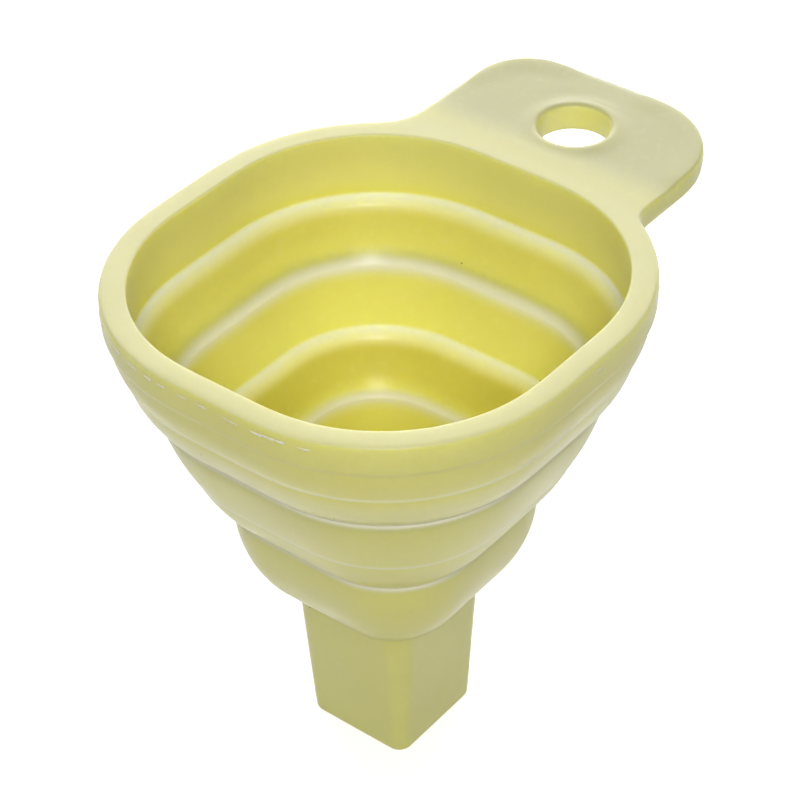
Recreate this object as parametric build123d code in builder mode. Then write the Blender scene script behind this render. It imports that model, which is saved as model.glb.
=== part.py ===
from build123d import *
import os

# Collapsible silicone funnel: rigid rings joined by thin folds, with a rim, a hanging tab and a spout.
#
# Millimetres. The origin is the centre of the spout's outlet, +Z points up to the mouth and +X runs along
# the hanging tab. Every level of the wall is the same square core, offset outwards, so all the levels have
# equal flats and share four corner centres. Half-widths are measured across the flats.

# mouth and rim
mouth_width = 72.0  # outside the rim, across the flats
rim_height = 4.8
rim_width = 3.9  # the flat-topped rim, from its outside to the inside of the mouth
rim_overhang = 0.7  # how far the rim's band stands out from the wall below it
rim_top_round = 1.3
rim_inner_round = 0.9
rim_under_round = 0.5

# rings, from the mouth down: height, and how much narrower the outside is at the bottom than at the top
upper_ring_height = 5.7
upper_ring_draw = 1.45
middle_ring_height = 10.9
middle_ring_draw = 3.7
lower_ring_height = 12.3
lower_ring_draw = 3.0

# folds, from the mouth down: height, and how far each steps in (the shoulder's step is what is left)
upper_fold_height = 8.1
upper_fold_step = 4.4
lower_fold_height = 9.3
lower_fold_step = 6.05
shoulder_height = 4.9

# the wall, measured level where each piece meets the next
upper_crease_wall = 1.5
upper_notch_wall = 2.6
middle_crease_wall = 1.5
lower_notch_wall = 1.7
lower_crease_wall = 1.6
notch_drop = 1.6  # how far the ridge inside lies below the upper notch outside

# how far each section bows outwards from straight
upper_ring_bulge = 0.45
upper_fold_bulge = 0.75
middle_ring_bulge = 0.4
lower_fold_bulge = 0.6
lower_ring_bulge = 0.85
shoulder_bulge = 0.75

# spout
spout_length = 26.4
spout_width = 18.3  # outside, at the outlet
spout_flare = 1.7  # how much wider each side is at the shoulder
spout_wall = 1.5
spout_bore_corner = 0.85  # corner radius of the bore at the outlet
outlet_round = 0.4

# hanging tab
tab_reach = 24.3  # from the rim's outside to the tab's end
tab_width = 42.0
tab_step = 0.3  # how far the tab's underside is above the rim band's
tab_end_corner_left = 9.0  # at the tab's end, on +Y
tab_end_corner_right = 15.0
tab_root_round_left = 8.0  # where the tab's +Y side runs into the rim
tab_root_round_right = 3.0
tab_edge_round = 1.1
hanging_hole_radius = 5.6
hole_from_rim = 10.6  # from the rim's outside to the hole's centre

# half-widths of the outside, from the mouth down
rim_half = mouth_width / 2
upper_ring_top_half = rim_half - rim_overhang
upper_ring_low_half = upper_ring_top_half - upper_ring_draw
middle_ring_top_half = upper_ring_low_half - upper_fold_step
middle_ring_low_half = middle_ring_top_half - middle_ring_draw
lower_ring_top_half = middle_ring_low_half - lower_fold_step
lower_ring_low_half = lower_ring_top_half - lower_ring_draw
spout_top_half = spout_width / 2 + spout_flare
spout_tip_half = spout_width / 2
core_half = spout_tip_half - spout_wall - spout_bore_corner

# heights above the outlet, from the spout up
shoulder_low = spout_length
lower_ring_low = shoulder_low + shoulder_height
lower_fold_low = lower_ring_low + lower_ring_height
middle_ring_low = lower_fold_low + lower_fold_height
upper_fold_low = middle_ring_low + middle_ring_height
upper_ring_low = upper_fold_low + upper_fold_height
rim_low = upper_ring_low + upper_ring_height
rim_top = rim_low + rim_height

# hanging tab: its end, sides, thickness and hole, and the line of its seam with the rim
tab_end = rim_half + tab_reach
tab_side = tab_width / 2
tab_thickness = rim_height - tab_step
hole_x = rim_half + hole_from_rim
tab_seam_half = rim_half - rim_top_round

os.makedirs("parts", exist_ok=True)


def level_loop(half):
    """The closed path round a level whose outside is this half-width, starting on +X."""
    corner = half - core_half
    with BuildLine() as loop:
        Line((half, 0), (half, core_half))
        RadiusArc((half, core_half), (core_half, half), -corner)
        Line((core_half, half), (-core_half, half))
        RadiusArc((-core_half, half), (-half, core_half), -corner)
        Line((-half, core_half), (-half, 0))
        mirror(about=Plane.XZ)
    return loop.wire()


def seam(outer_half, height, wall, drop=0):
    """Where two pieces meet: the wall's outer and inner points, as (half-width, height)."""
    return (outer_half, height), (outer_half - wall, height - drop)


def wall_outline(low_seam, top_seam, bulge=0):
    """The edges of a wall's section between two seams, bowed outwards by the bulge."""
    with BuildLine() as outline:
        if bulge:
            SagittaArc(low_seam[0], top_seam[0], -bulge)
            SagittaArc(low_seam[1], top_seam[1], -bulge)
        else:
            Line(low_seam[0], top_seam[0])
            Line(low_seam[1], top_seam[1])
        Line(*low_seam)
        Line(*top_seam)
    return outline.edges()


def root_end(root_round):
    """How far out in Y a root round of the tab meets the corner arc of the rim."""
    rim_corner = rim_half - core_half
    centre_rise = tab_side + root_round - core_half
    return core_half + centre_rise * rim_corner / (rim_corner + root_round)


rim_seam = seam(upper_ring_top_half, rim_low, rim_width - rim_overhang)
upper_crease = seam(upper_ring_low_half, upper_ring_low, upper_crease_wall)
upper_notch = seam(middle_ring_top_half, upper_fold_low, upper_notch_wall, notch_drop)
middle_crease = seam(middle_ring_low_half, middle_ring_low, middle_crease_wall)
lower_notch = seam(lower_ring_top_half, lower_fold_low, lower_notch_wall)
lower_crease = seam(lower_ring_low_half, lower_ring_low, lower_crease_wall)
spout_seam = seam(spout_top_half, shoulder_low, spout_wall)
outlet_seam = seam(spout_tip_half, 0, spout_wall)

root_end_left = root_end(tab_root_round_left)
root_end_right = root_end(tab_root_round_right)

# hanging tab: a flat plate that grows out of the rim on +X, flush with its top, with a round hole
with BuildPart() as hanging_tab:
    with BuildSketch(Plane.XY.offset(rim_top - tab_thickness)) as tab_outline:
        RectangleRounded(mouth_width, mouth_width, rim_half - core_half)
        with Locations((tab_end / 2, 0)):
            Rectangle(tab_end, tab_width)
        for side, root_round in ((1, tab_root_round_left), (-1, tab_root_round_right)):
            side_corners = tab_outline.vertices().filter_by(lambda v: abs(v.Y - side * tab_side) < 0.001)
            fillet(side_corners.sort_by(Axis.X)[0], root_round)
        end_corners = tab_outline.vertices().group_by(Axis.X)[-1].sort_by(Axis.Y)
        fillet(end_corners[0], tab_end_corner_right)
        fillet(tab_outline.vertices().group_by(Axis.X)[-1].sort_by(Axis.Y)[-1], tab_end_corner_left)
        # keep only what lies outside the rim's flat top, between the two root rounds
        seam_width = 2 * tab_seam_half
        RectangleRounded(seam_width, seam_width, tab_seam_half - core_half, mode=Mode.SUBTRACT)
        with Locations(((core_half + tab_end) / 2, (root_end_left - root_end_right) / 2)):
            Rectangle(tab_end - core_half, root_end_left + root_end_right, mode=Mode.INTERSECT)
    extrude(amount=tab_thickness)
    flat_faces = hanging_tab.faces().filter_by(Axis.Z)
    free_edges = []
    for edge in flat_faces.edges():
        middle = edge @ 0.5
        on_left_root = tab_side < middle.Y < root_end_left
        on_right_root = tab_side < -middle.Y < root_end_right
        if middle.X > rim_half or on_left_root or on_right_root:
            free_edges.append(edge)
    fillet(free_edges, tab_edge_round)
    with Locations((hole_x, 0, rim_top)):
        Hole(hanging_hole_radius)
hanging_tab.part.label = "hanging_tab"

# rim: a flat-topped band with rounded edges, notched where the tab grows out of it
with BuildPart() as rim:
    with BuildSketch(Plane.XZ) as rim_section:
        with Locations((rim_half - rim_width / 2, rim_low + rim_height / 2)):
            Rectangle(rim_width, rim_height)
        outside = rim_section.vertices().group_by(Axis.X)[-1].sort_by(Axis.Y)
        inside = rim_section.vertices().group_by(Axis.X)[0].sort_by(Axis.Y)
        fillet(outside[-1], rim_top_round)
        fillet(inside[-1], rim_inner_round)
        fillet(outside[0], rim_under_round)
    sweep(path=level_loop(rim_half))
    add(hanging_tab.part, mode=Mode.SUBTRACT)
rim.part.label = "rim"

# upper ring: the thick wall under the rim, down to the first crease
with BuildPart() as upper_ring:
    with BuildSketch(Plane.XZ):
        make_face(wall_outline(upper_crease, rim_seam, upper_ring_bulge))
    sweep(path=level_loop(upper_ring_low_half))
upper_ring.part.label = "upper_ring"

# upper fold: the thin web that turns inside out as the middle ring rises into the mouth
with BuildPart() as upper_fold:
    with BuildSketch(Plane.XZ):
        make_face(wall_outline(upper_notch, upper_crease, upper_fold_bulge))
    sweep(path=level_loop(middle_ring_top_half))
upper_fold.part.label = "upper_fold"

# middle ring
with BuildPart() as middle_ring:
    with BuildSketch(Plane.XZ):
        make_face(wall_outline(middle_crease, upper_notch, middle_ring_bulge))
    sweep(path=level_loop(middle_ring_low_half))
middle_ring.part.label = "middle_ring"

# lower fold: the web between the middle and lower rings
with BuildPart() as lower_fold:
    with BuildSketch(Plane.XZ):
        make_face(wall_outline(lower_notch, middle_crease, lower_fold_bulge))
    sweep(path=level_loop(lower_ring_top_half))
lower_fold.part.label = "lower_fold"

# lower ring
with BuildPart() as lower_ring:
    with BuildSketch(Plane.XZ):
        make_face(wall_outline(lower_crease, lower_notch, lower_ring_bulge))
    sweep(path=level_loop(lower_ring_low_half))
lower_ring.part.label = "lower_ring"

# shoulder fold: the web that closes the last ring in to the spout and rests on a jar's mouth
with BuildPart() as shoulder_fold:
    with BuildSketch(Plane.XZ):
        make_face(wall_outline(spout_seam, lower_crease, shoulder_bulge))
    sweep(path=level_loop(spout_top_half))
shoulder_fold.part.label = "shoulder_fold"

# spout: a square tube that narrows slightly towards its outlet
with BuildPart() as spout:
    with BuildSketch(Plane.XZ) as spout_section:
        make_face(wall_outline(outlet_seam, spout_seam))
        outlet_edge = spout_section.vertices().group_by(Axis.Y)[0].sort_by(Axis.X)[-1]
        fillet(outlet_edge, outlet_round)
    sweep(path=level_loop(spout_tip_half))
spout.part.label = "spout"

walls = (upper_ring, upper_fold, middle_ring, lower_fold, lower_ring, shoulder_fold, spout)
for piece in (rim, hanging_tab, *walls):
    export_step(piece.part, f"parts/{piece.part.label}.step")
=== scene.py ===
# %% [markdown]
# # A funnel that folds flat
# The real funnel is one moulding in pale yellow silicone rubber: a rounded-square mouth with a flat rim, a
# flat tab with a hanging hole, a wall of rings that step inwards, and a short square spout. The thin webs
# between the rings turn inside out, so the rings drop into each other. The imported CAD model gives the
# rim's size, the tab's reach and the heights of the creases and notches; the other sizes are given as
# numbers below.

# %% Load the imported model
import math
import random

import bmesh
import bpy
from mathutils import Matrix, Vector


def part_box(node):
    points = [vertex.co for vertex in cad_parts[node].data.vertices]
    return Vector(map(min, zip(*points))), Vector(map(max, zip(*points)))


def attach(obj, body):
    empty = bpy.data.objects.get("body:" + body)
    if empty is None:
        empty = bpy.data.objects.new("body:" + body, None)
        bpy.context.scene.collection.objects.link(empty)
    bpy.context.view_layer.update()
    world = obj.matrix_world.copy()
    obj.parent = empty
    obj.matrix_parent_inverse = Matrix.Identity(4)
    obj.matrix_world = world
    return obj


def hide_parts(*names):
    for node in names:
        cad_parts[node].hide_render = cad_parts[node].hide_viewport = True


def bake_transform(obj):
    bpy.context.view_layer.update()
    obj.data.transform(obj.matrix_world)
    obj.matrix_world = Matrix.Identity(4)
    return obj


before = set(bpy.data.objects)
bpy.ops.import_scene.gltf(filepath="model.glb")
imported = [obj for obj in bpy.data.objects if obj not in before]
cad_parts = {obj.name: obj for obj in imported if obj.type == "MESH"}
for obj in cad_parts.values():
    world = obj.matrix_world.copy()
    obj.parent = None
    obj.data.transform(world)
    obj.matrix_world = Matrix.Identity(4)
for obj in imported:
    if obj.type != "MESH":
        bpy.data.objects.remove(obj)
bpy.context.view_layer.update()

MM = 0.001

# %% [markdown]
# ## The camera
# The funnel is looked at from above its front, so the inside of the mouth, the tab behind it and the spout
# below it all show. A long lens keeps the sides nearly parallel. The camera could be put at typed-in
# coordinates, but an angle round the funnel, an angle above it and a distance are easier to think about.

# %% Camera
VIEW_ROUND = math.radians(-50.855)
VIEW_ABOVE = math.radians(38.406)
VIEW_ROLL = math.radians(-1.492)
VIEW_DISTANCE = 355.607 * MM
LOOK_AT = Vector((-4.101, -6.484, 65.377)) * MM
SENSOR_MM, LENS_MM = 36, 114.54
NEAREST = 0.01  # metres; nothing nearer than this is drawn

backwards = Vector((
    math.sin(VIEW_ROUND) * math.cos(VIEW_ABOVE),
    -math.cos(VIEW_ROUND) * math.cos(VIEW_ABOVE),
    math.sin(VIEW_ABOVE),
))
lens = bpy.data.cameras.new("camera")
lens.sensor_width, lens.lens = SENSOR_MM, LENS_MM
lens.clip_start = NEAREST
camera = bpy.data.objects.new("camera", lens)
bpy.context.scene.collection.objects.link(camera)
camera.location = LOOK_AT + backwards * VIEW_DISTANCE
turn = (-backwards).to_track_quat("-Z", "Y").to_matrix().to_4x4()
camera.rotation_euler = (turn @ Matrix.Rotation(VIEW_ROLL, 4, "Z")).to_euler()
bpy.context.scene.camera = camera
print("camera at, mm:", [round(v / MM, 1) for v in camera.location])

# %% [markdown]
# ## Measuring the wall
# The wall is a stack of levels: the rim's top, the creases that stand out and the notches that lie between
# them. Each level is where two CAD nodes meet, so its height is read from the nodes' boxes. If the CAD
# changes, these heights follow.

# %% Heights of the creases and notches, in mm
def low(node_name):
    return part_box(node_name)[0].z / MM


def high(node_name):
    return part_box(node_name)[1].z / MM


RIM_TOP, RIM_LOW = high("rim"), low("rim")
CREASE_A, CREASE_B, CREASE_C = low("upper_ring"), low("middle_ring"), low("lower_ring")
NOTCH_1, NOTCH_2 = high("middle_ring"), low("lower_fold")
RIDGE_1 = low("upper_fold")
SHOULDER = high("spout")
print("rim from", round(RIM_LOW, 2), "to", round(RIM_TOP, 2))
print("creases", round(CREASE_A, 2), round(CREASE_B, 2), round(CREASE_C, 2))
print("notches", round(NOTCH_1, 2), round(NOTCH_2, 2), "shoulder", round(SHOULDER, 2))

# %% Half-widths where the wall turns, in mm
CORE = 6.8  # half the square that every level is rounded off from
RIM_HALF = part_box("rim")[1].y / MM
OUT_A, OUT_1, OUT_B = (33.85, CREASE_A), (29.48, NOTCH_1), (25.75, CREASE_B)
OUT_2, OUT_C, OUT_S = (19.71, NOTCH_2), (16.7, CREASE_C), (10.85, SHOULDER)
IN_1, IN_2 = (26.85, RIDGE_1), (18.0, NOTCH_2)
IN_C, IN_S = (15.1, CREASE_C), (9.35, SHOULDER)
print("rim is", round(2 * RIM_HALF, 2), "wide")

# %% [markdown]
# ## The section of the wall
# Cut through with a knife, the wall would show a wavy strip of rubber 1.5 to 2.5 mm thick. That strip is
# drawn as two lines of points, outside and inside, each point a half-width and a height. The rings bulge a
# little between their creases, so a helper puts points on a shallow arc. Points lie close together where
# the rubber turns sharply and far apart where it runs straight, because subdivision rounds off a wide
# spacing and keeps a close one crisp.

# %% Points on a shallow arc
def bow(a, b, out=0.0, shares=(0.06, 0.2, 0.4, 0.6, 0.8, 0.94)):
    """Points between two others, on an arc that stands out by this much in the middle."""
    dx, dz = b[0] - a[0], b[1] - a[1]
    length = math.hypot(dx, dz)
    across = (abs(dz) / length, -dx / length * (1 if dz > 0 else -1))
    points = []
    for t in shares:
        lift = 4 * out * t * (1 - t)
        points.append((a[0] + dx * t + across[0] * lift, a[1] + dz * t + across[1] * lift))
    return points


print("points on an arc:", len(bow(OUT_A, OUT_1, 0.7)))

# %% Rim and upper ring
RIM_BAND = [  # from the top edge of the rim down its outer face
    (RIM_HALF - 0.6, RIM_TOP), (RIM_HALF - 0.14, RIM_TOP - 0.14), (RIM_HALF, RIM_TOP - 0.6),
    (RIM_HALF, RIM_TOP - 2.7), (RIM_HALF, RIM_LOW + 0.65),
]
mouth_outside = (
    RIM_BAND
    + [(RIM_HALF - 0.14, RIM_LOW + 0.15), (RIM_HALF - 0.5, RIM_LOW)]
    + bow((35.3, RIM_LOW - 0.1), OUT_A, 0.45)
    + [OUT_A]
    + bow(OUT_A, (29.54, NOTCH_1 + 0.15), 0.75)
    + [OUT_1]
)
mouth_inside = (
    [(32.85, RIM_TOP), (32.3, RIM_TOP - 0.03), (32.12, RIM_TOP - 0.2), (32.1, RIM_TOP - 0.65)]
    + bow((32.1, RIM_TOP - 1.2), (32.5, CREASE_A + 0.2), 0.1)
    + [(32.6, CREASE_A - 0.1), (32.25, CREASE_A - 0.42), (31.5, CREASE_A - 0.75), (30.95, CREASE_A - 1.4)]
    + [(30.5, 69.5), (30.1, 68.2), (29.65, 66.9), (29.1, 65.6), (28.45, 64.4), (27.8, 63.45)]
    + [(27.25, 62.8), (26.95, 62.45), IN_1]
)
print("mouth section:", len(mouth_outside) + len(mouth_inside), "points")

# %% Middle ring
middle_outside = (
    [OUT_1, (29.55, NOTCH_1 - 0.15), (29.6, NOTCH_1 - 0.6)]
    + bow((29.5, NOTCH_1 - 1.4), OUT_B, 0.35)
    + [OUT_B]
    + bow(OUT_B, (19.78, NOTCH_2 + 0.15), 0.6)
    + [OUT_2]
)
middle_inside = (
    [IN_1, (26.75, 61.8), (26.65, 61.2)]
    + bow((26.55, 60.6), (24.5, CREASE_B + 0.2), 0.2)
    + [(24.55, CREASE_B - 0.1), (24.15, CREASE_B - 0.42), (23.4, CREASE_B - 0.75), (22.8, CREASE_B - 1.4)]
    + [(22.2, 50.4), (21.65, 49.1), (21.0, 47.7), (20.3, 46.4), (19.5, 45.2), (18.75, 44.4)]
    + [(18.25, 43.95), (18.05, 43.75), IN_2]
)
print("middle section:", len(middle_outside) + len(middle_inside), "points")

# %% Lower ring, shoulder and spout
lower_outside = (
    [OUT_2, (19.78, NOTCH_2 - 0.15), (19.85, NOTCH_2 - 0.6)]
    + bow((19.8, NOTCH_2 - 1.4), OUT_C, 0.8)
    + [OUT_C]
    + bow(OUT_C, OUT_S, 0.75)
    + [OUT_S]
    + bow(OUT_S, (9.15, 0.5), 0)
    + [(9.13, 0.3), (9.0, 0.06), (8.8, 0.0)]
)
lower_inside = (
    [IN_2, (17.92, 43.2), (17.8, 42.6)]
    + bow((17.7, 42.0), IN_C, 0.5)
    + [IN_C]
    + bow(IN_C, IN_S, 0.4)
    + [IN_S]
    + bow(IN_S, (7.65, 0.3), 0)
    + [(7.68, 0.1), (7.8, 0.0)]
)
print("lower section:", len(lower_outside) + len(lower_inside), "points")

# %% [markdown]
# ## Carrying the section round
# Every level of this funnel is the same small square, rounded off by a different amount. So the section is
# spun a quarter turn round each corner of that square, and pushed straight along each flat between them.
# A lathe turn would give a round funnel, and lofted rings would need matching by hand. Spin and extrude
# leave clean rows of four-sided faces that subdivide well. The doubled last row is merged and the faces
# are turned outwards before anything else is done.

# %% Selecting nothing, and reading a level's half-width
CORNER_STEPS, FLAT_STEPS = 12, 4  # rows of faces round each corner and along each flat


def deselect():
    if bpy.context.object and bpy.context.object.mode != "OBJECT":
        bpy.ops.object.mode_set(mode="OBJECT")
    bpy.ops.object.select_all(action="DESELECT")


def half_of(point):
    """How far out a point's level is, as that level's half-width, in mm."""
    x, y = abs(point.x) / MM, abs(point.y) / MM
    if x > CORE and y > CORE:
        return CORE + math.hypot(x - CORE, y - CORE)
    return max(x, y)


print("half-width of a corner point:", round(half_of(Vector((20, 20, 0)) * MM), 2))

# %% Carry a section round the square
SAME_POINT = 0.01  # mm; points nearer than this are one point


def carry_round(name, outside, inside):
    """A closed strip of wall, carried round four corners and along four flats."""
    deselect()
    strip = outside + inside[::-1]
    bpy.ops.mesh.primitive_circle_add(vertices=len(strip), radius=0.01, location=(0, 0, 0))
    piece = bpy.context.object
    piece.name = piece.data.name = name
    for vertex, (half, z) in zip(piece.data.vertices, strip):
        vertex.co = (half * MM, CORE * MM, z * MM)
    bpy.ops.object.mode_set(mode="EDIT")
    bpy.ops.mesh.select_all(action="SELECT")
    corners = ((1, 1), (-1, 1), (-1, -1), (1, -1))
    walks = ((-1, 0), (0, -1), (1, 0), (0, 1))
    step = 2 * CORE * MM / FLAT_STEPS
    for (cx, cy), (wx, wy) in zip(corners, walks):
        centre = (cx * CORE * MM, cy * CORE * MM, 0)
        bpy.ops.mesh.spin(steps=CORNER_STEPS, angle=-math.pi / 2, center=centre, axis=(0, 0, 1))
        for _ in range(FLAT_STEPS):
            bpy.ops.mesh.extrude_region_move(TRANSFORM_OT_translate={"value": (wx * step, wy * step, 0)})
    bpy.ops.mesh.select_all(action="SELECT")
    bpy.ops.mesh.remove_doubles(threshold=SAME_POINT * MM)
    bpy.ops.mesh.normals_make_consistent(inside=False)
    bpy.ops.object.mode_set(mode="OBJECT")
    print(name, len(piece.data.vertices), "points")
    return piece


# %% [markdown]
# ## Three walls that meet on the folds
# The real wall is unbroken, but its rings move apart when it folds. Nine little solids would show a line at
# every joint, because light that soaks into rubber stops at each solid's end. So the wall is three pieces,
# and they meet where the real one has a sharp turn anyway. Their ends stay a hair apart, and the end edges
# are creased so that subdivision doesn't round them off.

# %% Leave a hair between two walls
SEAM_GAP = 0.012  # mm that each wall's end is drawn back from the seam


def parted(line, top, bottom):
    """The same line with its first and last points moved a hair up or down."""
    line = list(line)
    line[0] = (line[0][0], line[0][1] + top)
    line[-1] = (line[-1][0], line[-1][1] + bottom)
    return line


def crease_ends(piece, ends):
    """Keeps the edges round a seam sharp."""
    crease = piece.data.attributes.new("crease_edge", "FLOAT", "EDGE")
    count = 0
    for edge in piece.data.edges:
        a, b = (piece.data.vertices[i].co for i in edge.vertices)
        for half, z in ends:
            if all(abs(p.z - z * MM) < 1e-6 and abs(half_of(p) - half) < SAME_POINT for p in (a, b)):
                crease.data[edge.index].value = 1
                count += 1
    print(piece.name, "creased edges:", count)


# %% The three walls
def wall(name, outside, inside, top, bottom):
    outside, inside = parted(outside, top, bottom), parted(inside, top, bottom)
    ends = ([outside[0], inside[0]] if top else []) + ([outside[-1], inside[-1]] if bottom else [])
    piece = carry_round(name, outside, inside)
    crease_ends(piece, ends)
    return piece


mouth = wall("mouth", mouth_outside, mouth_inside, 0, SEAM_GAP)
middle = wall("middle", middle_outside, middle_inside, -SEAM_GAP, SEAM_GAP)
lower = wall("lower", lower_outside, lower_inside, -SEAM_GAP, 0)

# %% [markdown]
# ## The hanging tab
# The tab is part of the rim: the same rubber runs out from it, flush on top, to a hole for a hook. A
# separate plate would leave a line across the top, so the tab is grown from the rim's own outer faces by
# extruding them row after row. Each row is then laid on a grid that is stretched between the tab's four
# edges: the rim, two curved sides and the end. One side meets the rim in a wide sweep and the other in a
# tight one, and the end's two corners differ in the same way.

# %% Tab outline
TAB_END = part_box("hanging_tab")[1].x / MM
TAB_SIDE = 21.0  # half the tab's width
ROOT_ROUND = {-1: 3.0, 1: 8.0}  # the roundings on the -Y and +Y sides, where the tab leaves the rim
END_ROUND = {-1: 15.0, 1: 9.0}  # and at its end
ROOT_TURN = math.radians(37.5)  # how far round the rim's corner the tab begins
ROOT_COLUMNS = 5  # columns of faces within that turn, at each of the two corners
TAB_STEP = 0.3  # mm from the underside of the rim's band up to the tab's
TAB_UNDER = RIM_LOW + TAB_STEP


def arc(centre, radius, start, end, steps=24):
    return [
        (centre[0] + radius * math.cos(start + (end - start) * i / steps),
         centre[1] + radius * math.sin(start + (end - start) * i / steps))
        for i in range(steps + 1)
    ]


def tab_side(side):
    """One side of the tab, from the rim to the middle of its end corner."""
    rim, root, end = RIM_HALF - CORE, ROOT_ROUND[side], END_ROUND[side]
    cy = TAB_SIDE + root
    cx = CORE + math.sqrt((rim + root) ** 2 - (cy - CORE) ** 2)
    meet = math.atan2(cy - CORE, cx - CORE)
    line = arc((CORE, CORE), rim, ROOT_TURN, meet)
    line += arc((cx, cy), root, meet + math.pi, math.pi * 1.5)
    line += arc((TAB_END - end, TAB_SIDE - end), end, math.pi / 2, math.pi / 4)
    return [(x, side * y) for x, y in line]


right, left = END_ROUND[-1], END_ROUND[1]
right_side, left_side = tab_side(-1), tab_side(1)
front = arc((TAB_END - right, -TAB_SIDE + right), right, -math.pi / 4, 0)
front += arc((TAB_END - left, TAB_SIDE - left), left, 0, math.pi / 4)
tab_outline = right_side + front + left_side[::-1]
print("tab outline:", len(tab_outline), "points, reaching", round(TAB_END, 2))

# %% Walking along a line, and round the rim
def along(line, share):
    """The point this share of the way along a line, and the direction square to it on its right."""
    lengths = [math.dist(a, b) for a, b in zip(line, line[1:])]
    rest = share * sum(lengths)
    for (a, b), length in zip(zip(line, line[1:]), lengths):
        if rest <= length + 1e-9 and length > 1e-9:
            t = rest / length
            dx, dy = (b[0] - a[0]) / length, (b[1] - a[1]) / length
            return (a[0] + (b[0] - a[0]) * t, a[1] + (b[1] - a[1]) * t), (dy, -dx)
        rest -= length
    return line[-1], (dy, -dx)


def rim_columns():
    """The rim's rows of faces under the tab, from -Y to +Y: a corner's centre and the turn round it."""
    turns = [ROOT_TURN * i / ROOT_COLUMNS for i in range(ROOT_COLUMNS, 0, -1)]
    flats = [(CORE, CORE * (2 * i / FLAT_STEPS - 1), 0) for i in range(FLAT_STEPS + 1)]
    return [(CORE, -CORE, -t) for t in turns] + flats + [(CORE, CORE, t) for t in reversed(turns)]


def at_column(column, half):
    cx, cy, turn = column
    return cx + (half - cx) * math.cos(turn), cy + (half - cx) * math.sin(turn)


columns = rim_columns()
print("columns of faces under the tab:", len(columns) - 1)

# %% A grid stretched between the tab's four edges
# how far along the tab each row lies; closer together at the root, where the outline bends
ROWS = (0.05, 0.1, 0.15, 0.2, 0.26, 0.33, 0.41, 0.49, 0.57, 0.66, 0.75, 0.84, 0.92, 1.0)
ACROSS, OUT = len(columns) - 1, len(ROWS)


def edge_point(u, v, inset):
    """A grid point on the tab's edge, this far in from the outside."""
    if v == 0:
        return at_column(columns[u], RIM_HALF - inset)
    if v == OUT:
        (x, y), (nx, ny) = along(front, u / ACROSS)
        if u in (0, ACROSS):
            turn = math.pi / 4 * (1 if u else -1)
            nx, ny = math.cos(turn), math.sin(turn)
    elif u == 0:
        (x, y), (nx, ny) = along(right_side, ROWS[v - 1])
    else:
        (x, y), (nx, ny) = along(left_side, ROWS[v - 1])
        nx, ny = -nx, -ny
    return x - nx * inset, y - ny * inset


def grid_point(u, v, inset):
    """A grid point inside the tab, from the points beside, in front of and behind it."""
    if v in (0, OUT) or u in (0, ACROSS):
        return edge_point(u, v, inset)
    s, t = u / ACROSS, v / OUT
    near_edge, far_edge = edge_point(u, 0, inset), edge_point(u, OUT, inset)
    right_edge, left_edge = edge_point(0, v, inset), edge_point(ACROSS, v, inset)
    corners = [edge_point(i, j, inset) for i, j in ((0, 0), (ACROSS, 0), (0, OUT), (ACROSS, OUT))]
    shares = ((1 - s) * (1 - t), s * (1 - t), (1 - s) * t, s * t)
    point = []
    for k in range(2):
        edges = (1 - t) * near_edge[k] + t * far_edge[k] + (1 - s) * right_edge[k] + s * left_edge[k]
        point.append(edges - sum(share * corner[k] for share, corner in zip(shares, corners)))
    return point


print("middle of the tab:", [round(c, 2) for c in grid_point(ACROSS // 2, OUT // 2, 0)])

# %% Grow the tab out of the rim
TAB_EDGE = [  # how far in from the outside, and height, down the edge of the tab
    (0.6, RIM_TOP), (0.14, RIM_TOP - 0.14), (0.0, RIM_TOP - 0.6), (0.0, RIM_TOP - 2.7),
    (0.35, TAB_UNDER + 0.25),
]
PULL = Vector((2 * MM, 0, 0))  # a first place for each new row, before it is laid on the grid


def place_of(point):
    return tuple(round(c / MM, 3) for c in point)


def edit(piece):
    """Opens a piece in edit mode with nothing selected."""
    deselect()
    piece.select_set(True)
    bpy.context.view_layer.objects.active = piece
    bpy.ops.object.mode_set(mode="EDIT")
    bpy.ops.mesh.select_all(action="DESELECT")
    return bmesh.from_edit_mesh(piece.data)


def grow_tab(piece):
    mesh = edit(piece)
    where = {}
    chosen = set()
    for u, column in enumerate(columns):
        for k, (half, z) in enumerate(RIM_BAND):
            place = Vector((*at_column(column, half), z)) * MM
            vertex = min(mesh.verts, key=lambda v: (v.co - place).length)
            assert (vertex.co - place).length < 2 * SAME_POINT * MM
            where[place_of(vertex.co)] = (u, k)
            chosen.add(vertex)
    for face in mesh.faces:
        face.select_set(all(v in chosen for v in face.verts))
    bmesh.update_edit_mesh(piece.data)
    print("rim faces under the tab:", sum(f.select for f in mesh.faces))
    for row in range(1, OUT + 1):
        bpy.ops.mesh.extrude_region_move(TRANSFORM_OT_translate={"value": PULL})
        mesh = bmesh.from_edit_mesh(piece.data)
        moved = {}
        for vertex in (v for v in mesh.verts if v.select):
            old = (vertex.co - PULL) / MM
            u, k = min(where.items(), key=lambda item: (Vector(item[0]) - old).length)[1]
            inset, z = TAB_EDGE[k]
            vertex.co = Vector((*grid_point(u, row, inset), z)) * MM
            moved[place_of(vertex.co)] = (u, k)
        where = moved
        bmesh.update_edit_mesh(piece.data)
    bpy.ops.object.mode_set(mode="OBJECT")
    print("mouth with its tab:", len(piece.data.vertices), "points")


grow_tab(mouth)

# %% [markdown]
# ## The hanging hole
# A hook or a nail goes through the hole, so its edge is a soft raised lip and the bore runs straight
# through. A boolean cut would leave long thin faces that shade badly. Instead the grid's faces over the
# hole are taken away above and below, and the open edge is extruded ring by ring: in to the lip, over it,
# down the bore and out to the opening underneath, where the two are bridged.

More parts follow.
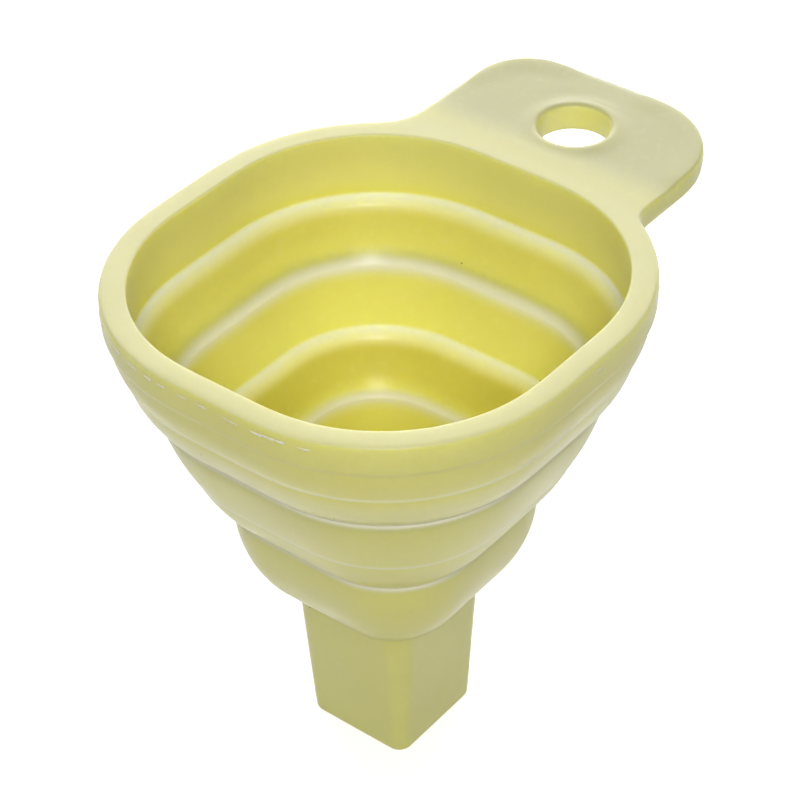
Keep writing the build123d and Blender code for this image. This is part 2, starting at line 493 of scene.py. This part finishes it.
# %% Cut the hole
HOLE_X = 46.6
BORE = 5.35  # the hole's radius
CLEARED = (8.0, 8.4)  # half the block of grid faces that is taken away, along X and Y
HOLE_RINGS = [  # radius and height, from the lip on top down through the bore
    (BORE + 2.0, RIM_TOP - 0.06), (BORE + 1.25, RIM_TOP + 0.02), (BORE + 0.7, RIM_TOP - 0.02),
    (BORE + 0.25, RIM_TOP - 0.28), (BORE, RIM_TOP - 0.95), (BORE, RIM_TOP - 2.2),
    (BORE, TAB_UNDER + 0.9), (BORE + 0.2, TAB_UNDER + 0.25), (BORE + 0.7, TAB_UNDER),
    (BORE + 2.0, TAB_UNDER),
]


def turn_at(vertex):
    return math.atan2(vertex.co.y, vertex.co.x - HOLE_X * MM)


def cut_hole(piece):
    mesh = edit(piece)
    for face in mesh.faces:
        centre = face.calc_center_median() / MM
        flat = abs(centre.z - RIM_TOP) < 0.1 or abs(centre.z - TAB_UNDER) < 0.3
        over_hole = abs(centre.x - HOLE_X) < CLEARED[0] and abs(centre.y) < CLEARED[1]
        face.select_set(flat and over_hole)
    bmesh.update_edit_mesh(piece.data)
    bpy.ops.mesh.delete(type="FACE")
    bpy.ops.mesh.select_mode(type="EDGE")
    mesh = bmesh.from_edit_mesh(piece.data)
    for edge in mesh.edges:
        on_top = all(abs(v.co.z / MM - RIM_TOP) < 0.5 for v in edge.verts)
        edge.select_set(edge.is_boundary and on_top)
    bmesh.update_edit_mesh(piece.data)
    reach = min(math.hypot(v.co.x / MM - HOLE_X, v.co.y / MM) for v in mesh.verts if v.select)
    print("nearest point of the opening:", round(reach, 2))
    for radius, z in HOLE_RINGS:
        bpy.ops.mesh.extrude_region_move(TRANSFORM_OT_translate={"value": (0, 0, 0)})
        mesh = bmesh.from_edit_mesh(piece.data)
        ring = sorted((v for v in mesh.verts if v.select), key=turn_at)
        start = sum(turn_at(v) - math.tau * i / len(ring) for i, v in enumerate(ring)) / len(ring)
        for i, vertex in enumerate(ring):
            turn = start + math.tau * i / len(ring)
            vertex.co = Vector((HOLE_X + radius * math.cos(turn), radius * math.sin(turn), z)) * MM
        bmesh.update_edit_mesh(piece.data)
    for edge in mesh.edges:
        edge.select_set(edge.is_boundary)
    bmesh.update_edit_mesh(piece.data)
    bpy.ops.mesh.bridge_edge_loops()
    bpy.ops.mesh.select_all(action="SELECT")
    bpy.ops.mesh.normals_make_consistent(inside=False)
    bpy.ops.mesh.select_mode(type="VERT")
    mesh = bmesh.from_edit_mesh(piece.data)
    print("open edges:", sum(not e.is_manifold for e in mesh.edges))
    bpy.ops.object.mode_set(mode="OBJECT")


cut_hole(mouth)

# %% [markdown]
# ## Smoothing
# A moulded piece has no flat facets, so each wall is subdivided twice and the result is applied. The rows
# of points that lie close together keep the rim's edges crisp. The tab's top is then sunk a little between
# its border and the hole's lip, as thick rubber does when it shrinks in cooling.

# %% Subdivide the walls
walls = (mouth, middle, lower)
SHARP_TURN = math.radians(50)  # edges that turn by more than this stay sharp


def smooth(piece, levels=2):
    deselect()
    piece.select_set(True)
    bpy.context.view_layer.objects.active = piece
    modifier = piece.modifiers.new("smooth", "SUBSURF")
    modifier.levels = modifier.render_levels = levels
    bpy.ops.object.modifier_apply(modifier=modifier.name)
    bpy.ops.object.shade_smooth_by_angle(angle=SHARP_TURN)
    print(piece.name, len(piece.data.polygons), "faces")


for piece in walls:
    smooth(piece)

# %% Sink the tab's top
SINK = 0.25  # mm at its deepest


def ease(start, end, value):
    """0 before start, 1 after end, and a smooth rise between."""
    t = min(max((value - start) / (end - start), 0), 1)
    return t * t * (3 - 2 * t)


def edge_gap(x, y):
    return min(math.hypot(x - px, y - py) for px, py in tab_outline)


deepest = 0
for vertex in mouth.data.vertices:
    x, y, z = vertex.co / MM
    if z < RIM_TOP - 0.35 or x < RIM_HALF - 1:
        continue
    lip = math.hypot(x - HOLE_X, y) - BORE
    sink = ease(1.0, 5.2, edge_gap(x, y)) * ease(1.0, 4.0, lip) * ease(RIM_HALF, RIM_HALF + 7, x)
    vertex.co.z -= SINK * sink * MM
    deepest = max(deepest, SINK * sink)
print("tab sunk by up to", round(deepest, 3), "mm")

# %% [markdown]
# ## Painted highlights along the creases
# Each crease catches the light and shows as a soft cream line, and this is painted into the colour as a
# painted highlight. Painting an image would need a flat map of the wall. A number stored on each point is
# simpler:
# it is highest on a crease and fades away from it, mostly faster above the line than below. On the two
# inner ridges it is soft on both sides, and on the two upper creases outside it fades alike both ways. The
# rim's flat top also gets a little of it all over, as a painted veil of reflected light.

# %% Where the creases get a painted highlight
INSIDE_LINES = [  # half-width, height, and how strong the painted highlight on the crease is there
    (32.4, CREASE_A - 0.35, 1.0), (*IN_1, 0.95), (24.3, CREASE_B - 0.35, 0.9), (*IN_2, 0.85),
]
OUTSIDE_LINES = [(*OUT_A, 0.7), (*OUT_1, 1.0), (*OUT_B, 0.6), (*OUT_2, 0.9)]
# share of the painted veil of reflected light on the rim's flat top
RIM_TOP_PAINTED_VEIL = 0.3
FADE_OUTSIDE, FADE_ABOVE_NOTCH = 0.55, 0.12  # mm over which the painted highlight fades
FADE_RIDGE, FADE_CREASE = 1.6, 0.7
FADE_BELOW, FADE_BELOW_EDGE = 2.4, 0.6
LINE_WIDTH = 3  # mm in half-width past which a level belongs to another line


def faces_outwards(vertex):
    return vertex.normal.x * vertex.co.x + vertex.normal.y * vertex.co.y > 0


def on_top(vertex):
    """1 on the flat tops of the rim and tab, 0 on their sides."""
    return ease(0.5, 0.9, vertex.normal.z) if vertex.co.z / MM > RIM_TOP - 0.6 else 0


def on_tab(vertex):
    """0 on the rim, 1 on the tab, and a long soft change between them."""
    return ease(RIM_HALF - 5, RIM_HALF + 7, vertex.co.x / MM)


# Painted highlight: cream along each crease and a veil on the rim's top, standing in for light caught there
def painted_crease_highlight(vertex):
    z, half = vertex.co.z / MM, half_of(vertex.co)
    outside = faces_outwards(vertex)
    amount = RIM_TOP_PAINTED_VEIL * on_top(vertex) * (1 - on_tab(vertex))
    for line_half, line_z, strength in OUTSIDE_LINES if outside else INSIDE_LINES:
        above = z - line_z
        if abs(half - line_half) > LINE_WIDTH:
            continue
        if outside:
            wide = above < 0 or line_z in (CREASE_A, CREASE_B)
            share = 1 - ease(0, FADE_OUTSIDE if wide else FADE_ABOVE_NOTCH, abs(above))
        elif above > 0:
            share = 1 - ease(0, FADE_RIDGE if line_z in (RIDGE_1, NOTCH_2) else FADE_CREASE, above)
        else:
            share = 0.65 * (1 - ease(0, FADE_BELOW, -above)) + 0.35 * (1 - ease(0, FADE_BELOW_EDGE, -above))
        amount = max(amount, strength * share)
    return amount


print("creases inside and outside:", len(INSIDE_LINES), len(OUTSIDE_LINES))

# %% [markdown]
# ## Glow, painted light, painted shade and painted sheen
# Four more numbers on each point steer the rubber's colour and depth. Glow says how much light may soak in,
# and fades to nothing at the two seams between the walls, where soaked-in light would be trapped and show
# as a dark line. Light is painted light: a paler colour makes up for that loss, stands in for the glow
# through the thin wall under the rim and brightens the outside of the upper web. The third number is painted
# shade, a darker and stronger yellow on the inner faces of the webs, and the fourth a painted sheen and
# shade that makes the tops of the rim and the tab dull and greyish.

# %% Store the numbers on the walls
RIM_TOP_SHEEN_SHARE = 0.4  # the tab's top has all of the painted sheen and shade, the rim's only this share
GLOW_FADE = (0.1, 1.1)  # mm from a seam
# painted light on the outer upper web and under the rim, and painted shade on the upper web's inside
OUTER_WEB_PAINTED_LIGHT, UNDER_RIM_PAINTED_GLOW, UPPER_WEB_SHADE_SHARE = 0.4, 0.3, 0.35


def seam_gap(vertex):
    """How far a point is from the nearer of the two seams, in mm."""
    z, half = vertex.co.z / MM, half_of(vertex.co)
    slope = (NOTCH_1 - RIDGE_1) / (OUT_1[0] - IN_1[0])
    return min(abs(z - RIDGE_1 - slope * (half - IN_1[0])), abs(z - NOTCH_2))


def glow(vertex):
    return ease(*GLOW_FADE, seam_gap(vertex))


def hump(start, end, value):
    """0 at start and end, 1 in the middle."""
    width = (end - start) / 3
    return ease(start, start + width, value) * (1 - ease(end - width, end, value))


# Painted light: a paler colour where soaked-in light is lost at the seams, on the wall under the rim that
# the back light glows through, and on the outside of the upper web.
def light(vertex):
    z = vertex.co.z / MM
    if faces_outwards(vertex):
        painted_lift = OUTER_WEB_PAINTED_LIGHT * hump(NOTCH_1, CREASE_A, z)
    else:
        painted_lift = UNDER_RIM_PAINTED_GLOW * ease(CREASE_A, CREASE_A + 3, z) * (1 - on_top(vertex))
    return max(1 - glow(vertex), painted_lift)


# Painted shade: a darker, stronger yellow on the inner faces of the webs.
def painted_web_shade(vertex):
    if faces_outwards(vertex):
        return 0
    z = vertex.co.z / MM
    return max(UPPER_WEB_SHADE_SHARE * hump(RIDGE_1, CREASE_A, z), hump(NOTCH_2, CREASE_B, z))


# Painted sheen and shade: the up-facing tops of the rim and the tab are made duller and greyer.
def painted_top_sheen(vertex):
    return on_top(vertex) * max(RIM_TOP_SHEEN_SHARE, on_tab(vertex))


MEASURES = {"painted_highlight": painted_crease_highlight, "glow": glow, "light": light, "painted_web_shade": painted_web_shade, "painted_top_sheen": painted_top_sheen}
for piece in walls:
    for name, measure in MEASURES.items():
        values = piece.data.attributes.new(name, "FLOAT", "POINT")
        for vertex in piece.data.vertices:
            values.data[vertex.index].value = measure(vertex)
    print(piece.name, "points marked:", len(piece.data.vertices))

# %% [markdown]
# ## The silicone
# Silicone lets light in, scatters it and lets it out again nearby, so it looks soft and its shadows are
# never black. Subsurface scattering does that, with red and green travelling further than blue, which
# makes thin rubber glow yellow. The colour itself is a greenish pale yellow that drifts a little over the
# piece, with a very few dark specks in it. The surface is satin, with faint waves from the mould and a very
# fine grain. All patterns are laid out in space rather than on the surface, so they run through the seams
# without a break.

# %% Nodes for the silicone
silicone = bpy.data.materials.new("silicone")
silicone.use_nodes = True
nodes, links = silicone.node_tree.nodes, silicone.node_tree.links
shader = nodes["Principled BSDF"]
place = nodes.new("ShaderNodeTexCoord")


def add_node(kind, **values):
    """A node with its sockets, or else its settings, filled in."""
    new = nodes.new(kind)
    for name, value in values.items():
        if name in new.inputs:
            new.inputs[name].default_value = value
        else:
            setattr(new, name, value)
    return new


def blotch(scale, detail=2.0):
    """Soft patches in space, this many to the metre, from 0 to 1."""
    noise = add_node("ShaderNodeTexNoise", Scale=scale, Detail=detail)
    links.new(place.outputs["Object"], noise.inputs["Vector"])
    return noise.outputs["Fac"]


RANGE_ENDS = ("From Min", "From Max", "To Min", "To Max")


def spread(value, *ends):
    """A value stretched from its first two ends to its last two, and held there."""
    new = nodes.new("ShaderNodeMapRange")
    links.new(value, new.inputs["Value"])
    for name, number in zip(RANGE_ENDS, ends):
        new.inputs[name].default_value = number
    return new.outputs["Result"]


def mixed(share, first, second):
    """The first colour, turning into the second as the share goes from 0 to 1."""
    new = nodes.new("ShaderNodeMix")
    new.data_type = "RGBA"
    links.new(share, new.inputs["Factor"])
    for socket, colour in ((new.inputs[6], first), (new.inputs[7], second)):
        if isinstance(colour, tuple):
            socket.default_value = (*colour, 1)
        else:
            links.new(colour, socket)
    return new.outputs[2]


def stored(name):
    """A number stored on the wall's points."""
    return add_node("ShaderNodeAttribute", attribute_name=name).outputs["Fac"]


print("helpers ready; nodes so far:", len(nodes))

# %% Colour of the silicone
YELLOW, YELLOW_DEEP = (0.885, 0.855, 0.27), (0.865, 0.825, 0.24)
# the painted shade of the webs' inner faces, then the painted light of the seams, the wall under the rim and
# the outer web
WEB_SHADE_YELLOW, PAINTED_GLOW_YELLOW = (0.74, 0.69, 0.14), (0.99, 0.965, 0.56)
# painted sheen and shade for the flat tops
TOP_SHEEN_AND_SHADE = (0.64, 0.62, 0.31)
# cream: the colour of the random pale patches and of the painted highlights
CREAM_PATCH_AND_HIGHLIGHT = (0.99, 0.965, 0.76)
SPECK = (0.16, 0.10, 0.04)

colour = mixed(spread(blotch(55), 0.3, 0.7, 0.0, 1.0), YELLOW, YELLOW_DEEP)
# painted shade on the inner faces of the webs
colour = mixed(stored("painted_web_shade"), colour, WEB_SHADE_YELLOW)
# painted light: paler near the seams, under the rim and on the outer upper web
colour = mixed(stored("light"), colour, PAINTED_GLOW_YELLOW)
# painted sheen and shade on the flat tops of the rim and the tab
colour = mixed(stored("painted_top_sheen"), colour, TOP_SHEEN_AND_SHADE)
colour = mixed(spread(blotch(700, 3), 0.55, 0.8, 0.0, 0.08), colour, CREAM_PATCH_AND_HIGHLIGHT)
# painted highlight: cream lines on the creases and a cream veil on the rim's top
colour = mixed(stored("painted_highlight"), colour, CREAM_PATCH_AND_HIGHLIGHT)
speck = add_node("ShaderNodeTexVoronoi", Scale=120.0, Randomness=1.0)
links.new(place.outputs["Object"], speck.inputs["Vector"])
colour = mixed(spread(speck.outputs["Distance"], 0.012, 0.024, 0.6, 0.0), colour, SPECK)
links.new(colour, shader.inputs["Base Color"])

shader.inputs["IOR"].default_value = 1.41
shader.inputs["Subsurface Scale"].default_value = 0.002
shader.inputs["Subsurface Radius"].default_value = (1.0, 0.98, 0.45)
links.new(stored("glow"), shader.inputs["Subsurface Weight"])
print("colour nodes:", len(nodes))

# %% Surface of the silicone
SATIN = (0.29, 0.37)  # below about 0.27, test renders of this funnel showed hard-edged patches
links.new(spread(blotch(160, 4), 0.3, 0.7, *SATIN), shader.inputs["Roughness"])
grain = add_node("ShaderNodeBump", Strength=0.3, Distance=0.00004)
links.new(blotch(2600, 2), grain.inputs["Height"])
waves = add_node("ShaderNodeBump", Strength=0.4, Distance=0.0004)
links.new(blotch(90, 0), waves.inputs["Height"])
links.new(grain.outputs["Normal"], waves.inputs["Normal"])
links.new(waves.outputs["Normal"], shader.inputs["Normal"])
for piece in walls:
    piece.data.materials.append(silicone)
print("silicone on", len(walls), "walls")

# %% [markdown]
# ## Moulding flash
# Where the two halves of the mould met, a thin skin of rubber was squeezed out and torn off, and a few
# ragged bits of it are left along the rim. They are real shapes that catch the light, so each is a small
# wedge, bevelled and thinned at one end, and each has its own length. The bits are joined into one piece
# that sits a little way into the rim's side.

# %% One bit of flash
def sliver(at, outward, length, thick, deep):
    """A small wedge lying along the rim, narrower at one end."""
    deselect()
    bpy.ops.mesh.primitive_cube_add(size=1)
    bit = bpy.context.object
    (x, y, z), (nx, ny) = at, outward
    for vertex in bit.data.vertices:
        sx, sy, sz = vertex.co
        taper = 1 if sx > 0 else 0.6
        run = sx * length
        out = (sy * 0.9 + 0.12) * deep * (taper if sy > 0 else 1)
        vertex.co = Vector((x + nx * out - ny * run, y + ny * out + nx * run, z + sz * thick * taper)) * MM
    bpy.ops.object.mode_set(mode="EDIT")
    bpy.ops.mesh.select_all(action="SELECT")
    bpy.ops.mesh.bevel(offset=min(thick, deep) * 0.3 * MM, segments=2, affect="EDGES")
    bpy.ops.object.mode_set(mode="OBJECT")
    return bit


# %% Bits along the rim and the tab
FLASH_SPANS = [  # share of the way round the rim where flash is left, and how many bits
    (0.355, 0.372, 3), (0.392, 0.43, 4), (0.435, 0.545, 9), (0.70, 0.74, 2), (0.79, 0.82, 2),
]
FLASH_Z = RIM_TOP - 1.35
SUNK = 0.12  # mm that each bit sits into the rubber
FRONT_BITS, SIDE_BITS = 5, 3
chance = random.Random(7)
rim_line = []
for k, (cx, cy) in enumerate(((CORE, CORE), (-CORE, CORE), (-CORE, -CORE), (CORE, -CORE))):
    rim_line += arc((cx, cy), RIM_HALF - CORE, k * math.pi / 2, (k + 1) * math.pi / 2)
rim_line.append(rim_line[0])


def place_bit(line, share, z, lengths, thicks, depths):
    (x, y), outward = along(line, share)
    at = (x - outward[0] * SUNK, y - outward[1] * SUNK, z)
    return sliver(at, outward, chance.uniform(*lengths), chance.uniform(*thicks), chance.uniform(*depths))


bits = []
for start, end, count in FLASH_SPANS:
    for i in range(count):
        share = start + (end - start) * (i + chance.random()) / count
        z = FLASH_Z + chance.uniform(-0.1, 0.1)
        bits.append(place_bit(rim_line, share, z, (0.5, 2.4), (0.2, 0.36), (0.26, 0.42)))
for i in range(FRONT_BITS):
    share = (i + chance.random()) / FRONT_BITS * 0.9 + 0.05
    bits.append(place_bit(front, share, FLASH_Z + 0.7, (0.6, 1.8), (0.2, 0.32), (0.24, 0.36)))
for i in range(SIDE_BITS):
    bits.append(place_bit(right_side, 0.62 + 0.12 * i, FLASH_Z + 0.1, (0.6, 1.6), (0.16, 0.26), (0.2, 0.32)))

deselect()
for bit in bits:
    bit.select_set(True)
bpy.context.view_layer.objects.active = bits[0]
bpy.ops.object.join()
flash = bpy.context.object
flash.name = flash.data.name = "moulding_flash"
bpy.ops.object.shade_smooth_by_angle(angle=math.radians(40))
print("bits of flash:", len(bits))

# %% Torn edge
torn = bpy.data.materials.new("torn_edge")
torn.use_nodes = True
torn_nodes, torn_links = torn.node_tree.nodes, torn.node_tree.links
torn_shader = torn_nodes["Principled BSDF"]
torn_shader.inputs["Roughness"].default_value = 0.5
torn_place = torn_nodes.new("ShaderNodeTexCoord")
torn_noise = torn_nodes.new("ShaderNodeTexNoise")
torn_noise.inputs["Scale"].default_value = 900  # patches about 1 mm long
torn_ramp = torn_nodes.new("ShaderNodeValToRGB")
TORN_SHADES = ((0.3, (0.93, 0.89, 0.62)), (0.6, (1.0, 0.99, 0.90)))
for stop, (position, shade) in zip(torn_ramp.color_ramp.elements, TORN_SHADES):
    stop.position, stop.color = position, (*shade, 1)
torn_links.new(torn_place.outputs["Object"], torn_noise.inputs["Vector"])
torn_links.new(torn_noise.outputs["Fac"], torn_ramp.inputs["Fac"])
torn_links.new(torn_ramp.outputs["Color"], torn_shader.inputs["Base Color"])
flash.data.materials.append(torn)
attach(flash, "rim_body")
print("torn edge shades:", len(TORN_SHADES))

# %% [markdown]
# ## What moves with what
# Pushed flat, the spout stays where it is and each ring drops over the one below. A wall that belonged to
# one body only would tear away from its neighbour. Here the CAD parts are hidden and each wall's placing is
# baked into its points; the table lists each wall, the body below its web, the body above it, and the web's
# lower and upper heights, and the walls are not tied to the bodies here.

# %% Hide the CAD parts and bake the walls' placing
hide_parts("rim", "hanging_tab", "upper_ring", "upper_fold")
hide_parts("middle_ring", "lower_fold")
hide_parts("lower_ring", "shoulder_fold", "spout")
for piece, below, above, start, end in (
    (mouth, "middle_body", "rim_body", NOTCH_1, CREASE_A),
    (middle, "lower_body", "middle_body", NOTCH_2, CREASE_B),
    (lower, "spout_body", "lower_body", SHOULDER, CREASE_C),
):
    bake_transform(piece)
    print(piece.name, "follows", below, "then", above)

# %% [markdown]
# ## Floor, sky and lights
# A pale yellow thing on a white floor is easily washed out by light thrown up from the floor. Here the
# floor is white to look at but throws no light on the funnel, and a soft sky, brighter below than above,
# takes its place. A broad light behind the funnel glows through the thin wall. A strip above it draws the
# pale lines on the creases and a white veil on the flat tops. Small lights above and in front fill the
# inside.

# %% Floor
deselect()
bpy.ops.mesh.primitive_plane_add(size=4, location=(0, 0, 0))
floor = bpy.context.object
floor.name = "floor"
white = bpy.data.materials.new("white_paper")
white.use_nodes = True
paper = white.node_tree.nodes["Principled BSDF"].inputs
paper["Base Color"].default_value = (0.9, 0.9, 0.9, 1)
paper["Roughness"].default_value = 0.9
paper["Emission Color"].default_value = (1, 1, 1, 1)
paper["Emission Strength"].default_value = 0.6
floor.data.materials.append(white)
floor.visible_diffuse = False
print("floor:", floor.dimensions.x, "m wide")

# %% Sky
SKY_BELOW, SKY_ABOVE = 0.42, 0.08
HORIZON = 0.15  # how far below and above the horizon the sky changes
world = bpy.data.worlds.new("studio")
world.use_nodes = True
sky, sky_links = world.node_tree.nodes, world.node_tree.links
ray = sky.new("ShaderNodeTexCoord")
split = sky.new("ShaderNodeSeparateXYZ")
level = sky.new("ShaderNodeMapRange")
for name, number in zip(RANGE_ENDS, (-HORIZON, HORIZON, SKY_BELOW, SKY_ABOVE)):
    level.inputs[name].default_value = number
sky_links.new(ray.outputs["Generated"], split.inputs["Vector"])
sky_links.new(split.outputs["Z"], level.inputs["Value"])
sky_links.new(level.outputs["Result"], sky["Background"].inputs["Strength"])
sky["Background"].inputs["Color"].default_value = (1, 1, 1, 1)
scene = bpy.context.scene
scene.world = world
scene.view_settings.view_transform = "Standard"
scene.cycles.max_bounces = 20
scene.cycles.diffuse_bounces = 16  # light goes from wall to wall many times inside the mouth
print("sky strength:", SKY_BELOW, "below,", SKY_ABOVE, "above")

# %% Lights
AWAY = Vector((0.776, 0.631, 0))  # level direction from the camera to the funnel


def softbox(name, away, height, aim_height, size, power):
    """A lamp with a flat rectangular face, in metres and watts, turned to the funnel."""
    lamp_data = bpy.data.lights.new(name, "AREA")
    lamp_data.shape = "RECTANGLE"
    lamp_data.size, lamp_data.size_y = size
    lamp_data.energy = power
    lamp = bpy.data.objects.new(name, lamp_data)
    scene.collection.objects.link(lamp)
    lamp.location = AWAY * away + Vector((0, 0, height))
    aim = Vector((0, 0, aim_height)) - lamp.location
    lamp.rotation_euler = aim.to_track_quat("-Z", "Y").to_euler()
    print(name, "light:", power, "W")


softbox("behind", 0.8, 0.2, 0.06, (1.6, 0.5), 8.5)
softbox("strip", 0.8, 0.68, 0.08, (0.9, 0.22), 2.8)
softbox("top", -0.2, 0.9, 0.06, (0.3, 0.3), 1.15)
softbox("fill", -0.62, 0.6, 0.06, (0.25, 0.25), 2.9)
